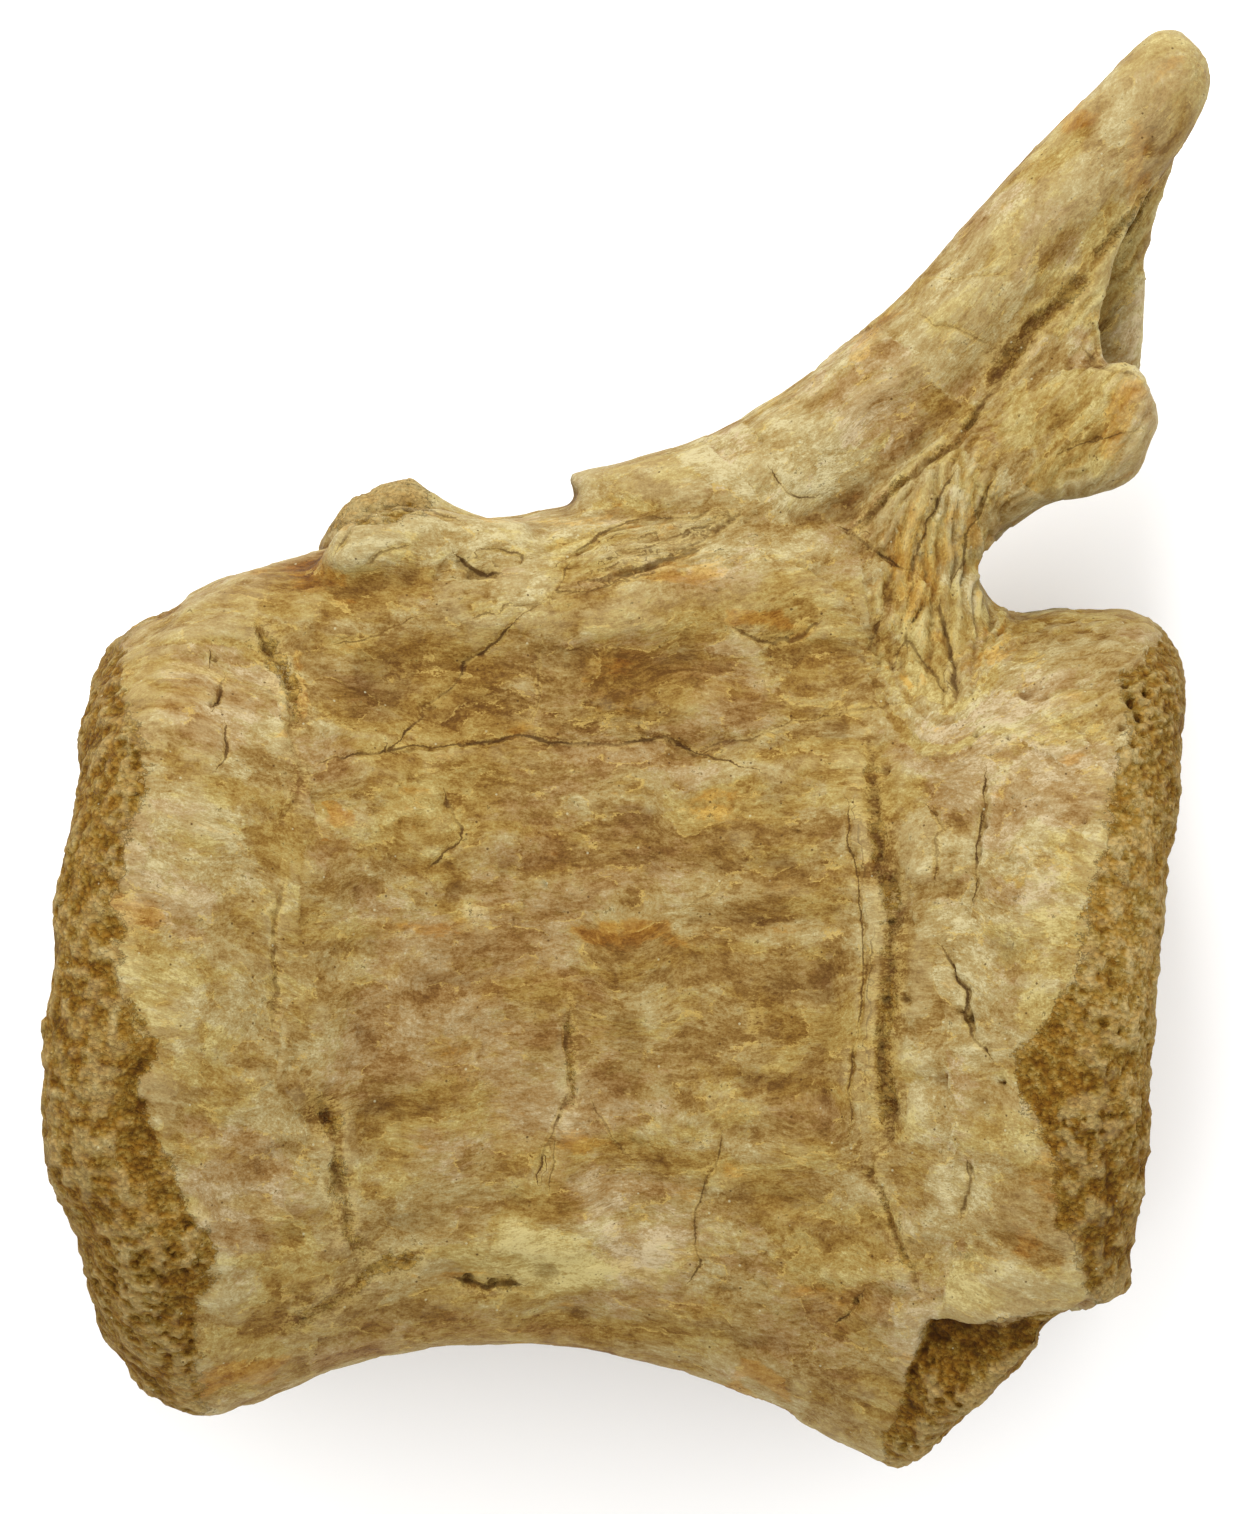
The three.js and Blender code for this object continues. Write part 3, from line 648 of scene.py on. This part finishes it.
def smooth_copy(node, look):
    """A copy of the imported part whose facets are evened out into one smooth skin, with a fine mesh."""
    bone = bpy.data.objects.new("bone_skin", node.data.copy())
    bpy.context.scene.collection.objects.link(bone)
    bone.data.materials.clear()
    alone(bone)
    bpy.ops.object.mode_set(mode="EDIT")
    bpy.ops.mesh.select_all(action="SELECT")
    bpy.ops.mesh.remove_doubles(threshold=MERGE_GAP)
    bpy.ops.object.mode_set(mode="OBJECT")
    apply_modifier(bone, "REMESH", mode="VOXEL", voxel_size=look.coarse)
    points = points_of(bone.data)
    rounds = np.where(points[:, 1] > CENTRUM_TOP, ARCH_ROUNDS, CENTRUM_ROUNDS)
    place_points(bone.data, relax(points, edges_of(bone.data), rounds))
    apply_modifier(bone, "REMESH", mode="VOXEL", voxel_size=look.fine)
    return bone


def carve(bone, look):
    """Carves the fine mesh along its normals, never below the floor, and thins out what is then too dense."""
    points = relax(points_of(bone.data), edges_of(bone.data), np.array([FINE_ROUNDS]))
    place_points(bone.data, points)
    normals = normals_of(bone.data)
    height = Survey(points, normals).height
    resting = blend(*REST_BAND, points[:, 2])
    carved = points + normals * (height * resting * look.carving)[:, None]
    carved[:, 2] = np.maximum(carved[:, 2], 0)
    place_points(bone.data, carved)
    thin_out(bone, points_of(bone.data)[:, 2] < THINNING_SEAM, look.far_triangles)
    thin_out(bone, points_of(bone.data)[:, 2] >= THINNING_SEAM, look.near_triangles)


def relief_of(points, normals, edges):
    """How far each point stands out from the surface around it, in millimetres."""
    count = np.bincount(edges.ravel(), minlength=len(points)).astype(float)
    smooth = points
    for _ in range(RELIEF_ROUNDS):
        smooth = neighbour_mean(smooth, edges, count)
    return np.clip(((points - smooth) * normals).sum(axis=1), -1, 1)


def store(mesh, name, values):
    """Keeps one number for each point, for the shader to read."""
    layer = mesh.attributes.new(name, "FLOAT", "POINT")
    layer.data.foreach_set("value", values.astype(np.float32))


def store_run(mesh, points):
    """Keeps the place along and across the grain for each face's corners. One face has one slope of grain."""
    face = np.repeat(np.arange(len(mesh.polygons)), numbers(mesh.polygons, "loop_total"))
    middles = vectors(mesh.polygons, "center") * MM_PER_METRE
    slopes = stepped(flow(middles[:, :2]), lattice_noise(middles, 6, 2))
    wavy = points + 1.3 * noises(points, 7, 31, 3)
    run = along_grain(wavy[corners_of(mesh)], slopes[face])
    layer = mesh.attributes.new("run", "FLOAT_VECTOR", "CORNER")
    layer.data.foreach_set("vector", run.astype(np.float32).ravel())


def store_fields(mesh):
    """Keeps all that the shader reads from the mesh."""
    points, normals = points_of(mesh), normals_of(mesh)
    field = Survey(points, normals).field
    field["relief"] = relief_of(points, normals, edges_of(mesh))
    for name, values in field.items():
        store(mesh, name, values)
    store_run(mesh, points)


class Shader:
    """Builds a material one node at a time."""

    def __init__(self, name):
        self.material = bpy.data.materials.new(name)
        self.material.use_nodes = True
        self.tree = self.material.node_tree
        self.tree.nodes.clear()

    def feed(self, socket, value):
        """Links an input to another node's output, or gives it a number or a colour."""
        if isinstance(value, bpy.types.NodeSocket):
            self.tree.links.new(value, socket)
        elif socket.type == "RGBA" and len(value) == 3:
            socket.default_value = (*value, 1)
        else:
            socket.default_value = value

    def node(self, kind, settings=None, inputs=None, output=0):
        """Adds a node, with its settings and inputs, and gives back one of its outputs."""
        made = self.tree.nodes.new("ShaderNode" + kind)
        for name, value in (settings or {}).items():
            setattr(made, name, value)
        for name, value in (inputs or {}).items():
            self.feed(made.inputs[name], value)
        return made.outputs[output]

    def math(self, operation, first, second=0.0):
        return self.node("Math", {"operation": operation}, {0: first, 1: second})

    def added(self, first, *others):
        """The sum of all the values, from left to right."""
        for other in others:
            first = self.math("ADD", first, other)
        return first

    def times(self, first, second):
        return self.math("MULTIPLY", first, second)

    def vector(self, operation, first, second):
        return self.node("VectorMath", {"operation": operation}, {0: first, 1: second})

    def scaled(self, vector, size):
        return self.vector("MULTIPLY", vector, (size, size, size))

    def level(self, value, low, high):
        """0 below low, 1 above high and a smooth rise between. It falls instead where low is the larger."""
        return self.node("MapRange", {"interpolation_type": "SMOOTHSTEP"},
                         {"Value": value, "From Min": low, "From Max": high})

    def mix(self, share, first, second):
        return self.node("Mix", {"data_type": "RGBA"}, {0: share, 6: first, 7: second}, 2)

    def mix_number(self, share, first, second):
        return self.node("Mix", {"data_type": "FLOAT"}, {0: share, 2: first, 3: second}, 0)

    def tinted(self, share, base, colour):
        """A colour multiplied by another, by a share from 0 to 1."""
        return self.node("Mix", {"data_type": "RGBA", "blend_type": "MULTIPLY"},
                         {0: share, 6: base, 7: colour}, 2)

    def noise(self, place, scale, detail, roughness, output=0):
        return self.node("TexNoise", None, {"Vector": place, "Scale": scale, "Detail": detail,
                                            "Roughness": roughness}, output)

    def channels(self, colour):
        """A colour's red, green and blue, as three numbers."""
        return self.node("SeparateColor", None, {"Color": colour}).node.outputs[:3]

    def centred(self, value, gain):
        """A value that runs from 0 to 1, moved to run evenly below and above 0, times the gain."""
        return self.times(self.math("SUBTRACT", value, 0.5), gain)

    def kept(self, name):
        """A number that was stored for each point."""
        return self.node("Attribute", {"attribute_name": name}, None, 2)

    def ramp(self, value, stops):
        """A colour that runs through the stops as the value rises."""
        made = self.tree.nodes.new("ShaderNodeValToRGB")
        while len(made.color_ramp.elements) < len(stops):
            made.color_ramp.elements.new(0.5)
        for element, (place, colour) in zip(made.color_ramp.elements, stops):
            element.position = place
            element.color = (*colour, 1)
        self.feed(made.inputs["Fac"], value)
        return made.outputs["Color"]

    def surface(self, inputs):
        """Makes the surface that the material shows."""
        out = self.tree.nodes.new("ShaderNodeOutputMaterial")
        self.feed(out.inputs["Surface"], self.node("BsdfPrincipled", None, inputs))


class BoneShader(Shader):
    """Weathered outer bone with its grain, worn spongy bone, cracks and stains."""

    def __init__(self, look):
        super().__init__("fossil_bone")
        self.look = look
        self.place = self.scaled(self.node("TexCoord", output=3), MM_PER_METRE)
        self.worn = self.kept("worn")
        self.relief = self.kept("relief")
        self.tone = self.kept("tone")
        run = self.node("Attribute", {"attribute_name": "run"}, None, 1)
        self.streak = self.noise(self.vector("MULTIPLY", run, (0.9, 2.1, 2.1)), 1.0, 4, 0.72)
        self.thread = self.noise(self.vector("MULTIPLY", run, (2.4, 5.4, 5.4)), 1.0, 1, 0.5)
        self.speckle = self.noise(self.place, 3.6, 2, 0.7)
        blots = self.noise(self.vector("MULTIPLY", run, (0.33, 0.66, 0.66)), 1.0, 5, 0.76, 1)
        self.mottles = self.channels(blots)
        self.grit = self.noise(self.place, 2.3, 3, 0.75)
        blotch = self.added(self.centred(self.level(self.mottles[0], 0.4, 0.6), 0.2),
                            self.centred(self.mottles[0], 0.45))
        self.fine = self.added(self.centred(self.thread, 0.25), self.centred(self.streak, 0.8),
                               self.added(self.centred(self.speckle, 0.6), blotch))
        self.sponge = self.spongy_height()
        edge = self.added(self.centred(self.grit, 1.4), self.centred(self.mottles[0], 2.2))
        self.is_worn = self.level(self.added(self.worn, edge), 0.4, 0.6)

    def spongy_height(self):
        """Small cells with torn walls, higher where the bone stands out or is pale. It shapes the bump and
        sets the spongy colour, where standing out is a painted highlight.
        """
        torn = self.vector("ADD", self.place, self.centred(self.grit, 0.9))
        cell = self.node("TexVoronoi", {"feature": "F1"},
                         {"Vector": self.vector("MULTIPLY", torn, (0.8, 1.0, 1.0)), "Scale": 1.75})
        hollow = self.math("SUBTRACT", 0.16, self.times(cell, 0.5))
        # The relief term is painted light in the spongy colour: paler where the bone stands out
        return self.added(hollow, self.times(self.grit, 1.2), self.times(self.tone, 0.9),
                          self.times(self.relief, 0.6))

    def stain(self, colour, name, blot, low, high, strength):
        """Multiplies a colour by the stain of that name where its field and a blot are high enough."""
        spread = self.added(self.centred(blot, 1.7), self.times(self.fine, 0.3))
        share = self.level(self.added(self.kept(name), spread), low, high)
        return self.tinted(self.times(share, strength), colour, getattr(self.look, name))

    def outer_colour(self):
        """From brown through ochre to cream, in flakes, with stains, chips and pale broken edges, paler where
        the bone stands out and darker in its hollows, a painted highlight and painted shade.
        """
        look = self.look
        flake_edge = self.added(self.kept("flake"), self.times(self.fine, 0.45))
        flaking = self.times(self.level(flake_edge, -0.2, 0.2), look.flaking)
        # The relief term is painted light: paler where the bone stands out, darker in its hollows
        value = self.added(self.fine, look.middle_tone, self.tone, flaking, self.times(self.relief, 0.3))
        colour = self.ramp(value, [(0.0, look.deep_brown), (0.26, look.brown), (0.5, look.ochre),
                                   (0.74, look.cream), (1.0, look.pale)])
        colour = self.stain(colour, "yellow", self.mottles[1], 0.22, 0.5, 0.7)
        colour = self.stain(colour, "mauve", self.mottles[2], 0.42, 0.66, 0.85)
        colour = self.stain(colour, "orange", self.math("SUBTRACT", 1.0, self.mottles[2]), 0.36, 0.75, 0.9)
        chip = self.times(self.level(self.thread, 0.36, 0.26), self.level(self.tone, 0.0, 0.15))
        colour = self.mix(self.times(chip, 0.3), colour, look.deep_brown)
        line = self.level(self.math("ABSOLUTE", flake_edge), 0.08, 0.02)
        line = self.times(line, self.level(self.mottles[1], 0.48, 0.58))
        return self.mix(self.times(line, 0.65), colour, look.vein)

    def spongy_colour(self):
        """Brown hollows and pale walls, rusty in places. The hollows' brown is partly their own and partly
        painted shade, and what stands out is paler, a painted highlight.
        """
        look = self.look
        # Painted shade in the cell hollows and a painted highlight on raised parts come in with the sponge
        # value
        value = self.added(self.sponge, self.centred(self.mottles[0], 1.0))
        colour = self.ramp(value, [(0.0, look.pit), (0.25, look.spongy_dark), (0.5, look.spongy),
                                   (0.78, look.spongy_light), (1.0, look.spongy_pale)])
        rust = self.times(self.level(self.mottles[1], 0.4, 0.6), 0.9)
        return self.tinted(rust, colour, look.rust)

    def crack_lines(self, colour):
        """Dark cracks, with a paler lip beside them. The dark is partly the cracks' own brown and partly
        painted shade in the gaps.
        """
        jag = self.times(self.math("SUBTRACT", self.speckle, 0.5), 0.42)
        gap = self.math("ABSOLUTE", self.added(self.kept("crack_side"), jag))
        gap = self.math("DIVIDE", gap, self.added(self.kept("crack_width"), 0.02))
        near = self.kept("crack_near")
        dark = self.times(self.times(self.level(gap, 1.0, 0.4), near), self.kept("crack_dark"))
        lip = self.times(self.times(self.level(gap, 3.2, 1.4), near), self.level(self.fine, -0.1, 0.12))
        colour = self.mix(self.times(lip, 0.35), colour, self.look.vein)
        # Partly painted shade: the crack floors are mixed towards the crack colour
        return self.mix(self.times(dark, 0.9), colour, self.look.crack)

    def hollows(self, colour):
        """Darker in the hollows, a painted shade, and paler on what stands out, a painted highlight."""
        # Painted shade: the colour is multiplied by the shade colour where the surface lies below its
        # surroundings
        painted_shade = self.level(self.relief, -0.05, -0.45)
        colour = self.tinted(self.times(painted_shade, 0.45), colour, self.look.shade)
        # Painted highlight: the colour is mixed towards the palest tone where the surface stands out
        painted_highlight = self.level(self.relief, 0.06, 0.4)
        return self.mix(self.times(painted_highlight, 0.2), colour, self.look.pale)

    def crumbs(self, colour):
        """Scattered dots of pale and dark grit."""
        crumb = self.node("TexVoronoi", None, {"Vector": self.place, "Scale": 0.9}).node
        picked = self.channels(crumb.outputs["Color"])[0]
        dot = self.level(crumb.outputs["Distance"], 0.16, 0.09)
        pale_crumb = self.times(dot, self.level(picked, 0.93, 0.95))
        dark_pin = self.times(dot, self.level(picked, 0.12, 0.10))
        colour = self.mix(self.times(pale_crumb, 0.55), colour, self.look.crumb)
        return self.mix(self.times(dark_pin, 0.8), colour, self.look.pit)

    def finish(self):
        """Joins the parts into one surface and gives back the material."""
        look = self.look
        colour = self.mix(self.is_worn, self.outer_colour(), self.spongy_colour())
        colour = self.crumbs(self.hollows(self.crack_lines(colour)))
        colour = self.tinted(1.0, colour, look.wash)
        grain_height = self.added(self.times(self.streak, 0.2), self.times(self.thread, 0.07))
        height = self.mix_number(self.is_worn, grain_height, self.times(self.sponge, 0.45))
        bump = self.node("Bump", None, {"Height": height, "Distance": 0.001, "Strength": look.bump})
        gloss = self.mix_number(self.is_worn, look.roughness, 0.92)
        self.surface({"Base Color": colour, "Roughness": gloss, "Normal": bump,
                      "Specular IOR Level": look.specular})
        return self.material


def colour_property(name, description, default):
    """A colour that a user can change."""
    return bpy.props.FloatVectorProperty(
        name=name, description=description, default=default, size=3, min=0, max=1, subtype="COLOR")


class FOSSIL_PG_bone(bpy.types.PropertyGroup):
    """Sizes and colours of the bone."""

    coarse: bpy.props.FloatProperty(
        name="First mesh size", description="Face size while the form is evened out", default=0.0009,
        unit="LENGTH")
    fine: bpy.props.FloatProperty(
        name="Fine mesh size", description="Face size while the surface is carved", default=0.00045,
        unit="LENGTH")
    near_triangles: bpy.props.IntProperty(
        name="Upper triangles", description="Triangles on the flank that is seen", default=125000)
    far_triangles: bpy.props.IntProperty(
        name="Lower triangles", description="Triangles on the flank it lies on", default=52000)
    carving: bpy.props.FloatProperty(
        name="Carving", description="Strength of cracks, layers and pits", default=1.0, subtype="FACTOR")
    bump: bpy.props.FloatProperty(
        name="Bump", description="Strength of the finest grain", default=0.9, subtype="FACTOR")
    roughness: bpy.props.FloatProperty(
        name="Roughness", description="Roughness of the outer bone", default=0.68, subtype="FACTOR")
    specular: bpy.props.FloatProperty(
        name="Sheen", description="Strength of the reflection", default=0.1, subtype="FACTOR")
    middle_tone: bpy.props.FloatProperty(
        name="Middle tone", description="Raises every tone of the outer bone", default=0.43)
    flaking: bpy.props.FloatProperty(
        name="Flaking", description="How much paler one flake is than the next", default=0.13,
        subtype="FACTOR")
    deep_brown: colour_property("Deep brown", "Darkest streaks of the outer bone", tone(114, 75, 24))
    brown: colour_property("Brown", "Brown of the outer bone", tone(147, 108, 52))
    ochre: colour_property("Ochre", "Middle tone of the outer bone", tone(174, 141, 88))
    cream: colour_property("Cream", "Light tone of the outer bone", tone(190, 166, 121))
    # Pale is also the colour of the painted highlight on what stands out
    pale: colour_property("Pale", "Palest streaks and edges", tone(222, 203, 166))
    yellow: colour_property("Yellow", "Yellow stains, which multiply", (1.0, 0.94, 0.6))
    mauve: colour_property("Mauve", "Grey violet stains, which multiply", (0.96, 0.88, 0.97))
    orange: colour_property("Orange", "Iron stains, which multiply", (1.0, 0.76, 0.4))
    rust: colour_property("Rust", "Stains of the spongy bone, which multiply", (1.0, 0.82, 0.52))
    vein: colour_property("Vein", "Broken edges of the thin layers", tone(222, 186, 112))
    # The cracks' own brown, also standing for painted shade in them
    crack: colour_property("Crack", "Floor of the cracks", tone(96, 62, 18))
    # Pit and dark spongy colour the spongy hollows, partly their own brown and partly painted shade; pit also
    # colours dark pins of grit
    pit: colour_property("Pit", "Floor of the pits", tone(89, 56, 14))
    spongy_dark: colour_property("Dark spongy", "Hollows of the spongy bone", tone(115, 77, 14))
    spongy: colour_property("Spongy", "Middle tone of the spongy bone", tone(146, 108, 38))
    spongy_light: colour_property("Light spongy", "Ridges of the spongy bone", tone(174, 141, 76))
    spongy_pale: colour_property("Pale spongy", "Crests of the spongy bone", tone(196, 167, 116))
    shade: colour_property("Shade", "What hollows are multiplied by", tone(150, 121, 78))
    crumb: colour_property("Crumb", "Pale crumbs of grit", tone(226, 216, 190))
    wash: colour_property("Wash", "What the whole bone is multiplied by", (0.506, 0.522, 0.43))


class FOSSIL_PG_stage(bpy.types.PropertyGroup):
    """The floor, the light and the camera."""

    floor_size: bpy.props.FloatProperty(
        name="Floor size", description="Side of the floor", default=1.6, unit="LENGTH")
    camera_height: bpy.props.FloatProperty(
        name="Camera height", description="Camera above the plane that is framed", default=2.5,
        unit="LENGTH")
    framed_height: bpy.props.FloatProperty(
        name="Framed height", description="What the picture's height covers", default=0.16654,
        unit="LENGTH")
    framed_plane: bpy.props.FloatProperty(
        name="Framed plane", description="Height of the plane that is framed", default=0.05, unit="LENGTH")
    sky: bpy.props.FloatProperty(
        name="Soft light", description="Strength of the light from all round", default=1.45)
    lamp: bpy.props.FloatProperty(
        name="Lamp", description="Power of the lamp at the picture's top", default=6.2, unit="POWER")
    lamp_size: bpy.props.FloatProperty(
        name="Lamp size", description="Side of the lamp", default=0.35, unit="LENGTH")
    lamp_place: bpy.props.FloatVectorProperty(
        name="Lamp place", description="Where the lamp is", default=(-0.12, 0.6, 0.62), unit="LENGTH")
    floor_colour: colour_property("Floor", "Colour of the floor", (0.95, 0.95, 0.95))


def lay_floor(look):
    """Lays the white floor under the bone."""
    bpy.ops.object.select_all(action="DESELECT")
    bpy.ops.mesh.primitive_plane_add(size=look.floor_size, location=(0, 0, 0))
    floor = bpy.context.object
    floor.name = "floor"
    paper = Shader("floor_paper")
    paper.surface({"Base Color": look.floor_colour, "Roughness": 0.9, "Specular IOR Level": 0.0})
    floor.data.materials.append(paper.material)


def set_lights(scene, look):
    """Sets the soft light from all round and the lamp at the picture's top."""
    world = bpy.data.worlds.new("soft_light")
    world.use_nodes = True
    sky = world.node_tree.nodes["Background"]
    sky.inputs["Color"].default_value = (1, 1, 1, 1)
    sky.inputs["Strength"].default_value = look.sky
    scene.world = world
    lamp = bpy.data.objects.new("lamp", bpy.data.lights.new("lamp", "AREA"))
    lamp.data.energy = look.lamp
    lamp.data.size = look.lamp_size
    lamp.location = look.lamp_place
    lamp.rotation_euler = (-lamp.location).to_track_quat("-Z", "Y").to_euler()
    scene.collection.objects.link(lamp)


def set_camera(scene, look):
    """Sets the camera straight above the bone, framed as the photograph is."""
    camera = bpy.data.objects.new("camera", bpy.data.cameras.new("camera"))
    camera.data.sensor_fit = "VERTICAL"
    camera.data.sensor_height = FILM
    camera.data.sensor_width = FILM
    camera.data.lens = FILM * look.camera_height / look.framed_height
    camera.data.dof.use_dof = False
    across, up = spot(CAMERA_PIXEL) / MM_PER_METRE
    camera.location = (across, up, look.framed_plane + look.camera_height)
    camera.rotation_euler = (0, 0, 0)
    scene.collection.objects.link(camera)
    scene.camera = camera
    scene.view_settings.view_transform = "Standard"


class FOSSIL_OT_bone(bpy.types.Operator):
    """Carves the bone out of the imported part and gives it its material"""

    bl_idname = "fossil.bone"
    bl_label = "Vertebra"

    def execute(self, context):
        look = context.scene.fossil_bone
        bone = smooth_copy(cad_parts["vertebra"], look)
        carve(bone, look)
        triangles = triangles_of(bone.data)
        if triangles > MOST_TRIANGLES:
            raise RuntimeError(f"the bone has {triangles} triangles")
        print("bone triangles", triangles)
        store_fields(bone.data)
        bone.data.materials.append(BoneShader(look).finish())
        alone(bone)
        bpy.ops.object.shade_smooth()
        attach(bone, "root")
        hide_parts("vertebra")
        return {"FINISHED"}


class FOSSIL_OT_stage(bpy.types.Operator):
    """Sets the floor, the light and the camera"""

    bl_idname = "fossil.stage"
    bl_label = "Stage"

    def execute(self, context):
        look = context.scene.fossil_stage
        lay_floor(look)
        set_lights(context.scene, look)
        set_camera(context.scene, look)
        return {"FINISHED"}


class FOSSIL_PT_panel(bpy.types.Panel):
    """Lists the pieces and the stage"""

    bl_idname = "FOSSIL_PT_panel"
    bl_label = "Fossil Vertebra"
    bl_space_type = "VIEW_3D"
    bl_region_type = "UI"
    bl_category = "Fossil"

    def draw(self, context):
        for group, operator in ((context.scene.fossil_bone, FOSSIL_OT_bone),
                                (context.scene.fossil_stage, FOSSIL_OT_stage)):
            box = self.layout.box()
            for name in group.bl_rna.properties.keys():
                if name not in ("rna_type", "name"):
                    box.prop(group, name)
            box.operator(operator.bl_idname)


CLASSES = (FOSSIL_PG_bone, FOSSIL_PG_stage, FOSSIL_OT_bone, FOSSIL_OT_stage, FOSSIL_PT_panel)


def register():
    """Makes the classes and the settings known to Blender."""
    for made in CLASSES:
        bpy.utils.register_class(made)
    bpy.types.Scene.fossil_bone = bpy.props.PointerProperty(type=FOSSIL_PG_bone)
    bpy.types.Scene.fossil_stage = bpy.props.PointerProperty(type=FOSSIL_PG_stage)


def unregister():
    """Takes the settings and the classes away again."""
    del bpy.types.Scene.fossil_stage
    del bpy.types.Scene.fossil_bone
    for made in reversed(CLASSES):
        bpy.utils.unregister_class(made)


def main():
    """Makes the bone and the stage."""
    register()
    bpy.ops.fossil.bone()
    bpy.ops.fossil.stage()
    bpy.context.view_layer.update()


if __name__ == "__main__":
    main()
